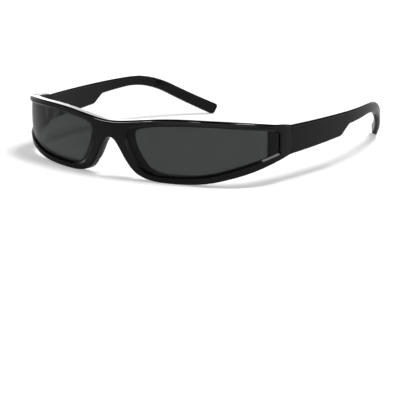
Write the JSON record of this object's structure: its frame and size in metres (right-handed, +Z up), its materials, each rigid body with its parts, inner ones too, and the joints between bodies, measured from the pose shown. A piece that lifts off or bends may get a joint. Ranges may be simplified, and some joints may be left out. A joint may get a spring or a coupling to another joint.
{
  "type": "sunglasses",
  "caption": "Wraparound sunglasses with narrow rectangular tinted lenses in a black plastic front and folding temples that step down behind a broad blade.",
  "frame": {"origin": "centre of the footprint at the height of the surface that the open sunglasses stand on", "axes": "+Z up, +X to the wearer's left, +Y from the front back along the open temples"},
  "size_m": [0.1502, 0.1554, 0.0295],
  "materials": {
    "frame_black": "polished",
    "pad_black": "polished",
    "lens_tint": "polished, neutral grey tint",
    "hinge_metal": "satin",
    "screw_metal": "turned",
    "core_metal": "drawn"
  },
  "bodies": {
    "front": {"front_frame": "frame_black", "left_lens": "lens_tint", "left_nose_pad": "pad_black", "left_front_hinge": "hinge_metal", "left_hinge_screw": "screw_metal", "left_front_fixings": "screw_metal", "right_lens": "lens_tint", "right_nose_pad": "pad_black", "right_front_hinge": "hinge_metal", "right_hinge_screw": "screw_metal", "right_front_fixings": "screw_metal"},
    "left_temple": {"left_temple": "frame_black", "left_temple_core": "core_metal", "left_temple_hinge": "hinge_metal", "left_temple_fixings": "screw_metal"},
    "right_temple": {"right_temple": "frame_black", "right_temple_core": "core_metal", "right_temple_hinge": "hinge_metal", "right_temple_fixings": "screw_metal"}
  },
  "joints": [
    {"name": "left_temple_fold", "type": "hinge", "parent": "front", "child": "left_temple", "pos_m": [0.06634, -0.03874, 0.01774], "axis": [0, 0.0087, 1], "range_deg": [0, 90]},
    {"name": "right_temple_fold", "type": "hinge", "parent": "front", "child": "right_temple", "pos_m": [-0.06634, -0.03874, 0.01774], "axis": [0, -0.0087, -1], "range_deg": [0, 76]}
  ]
}
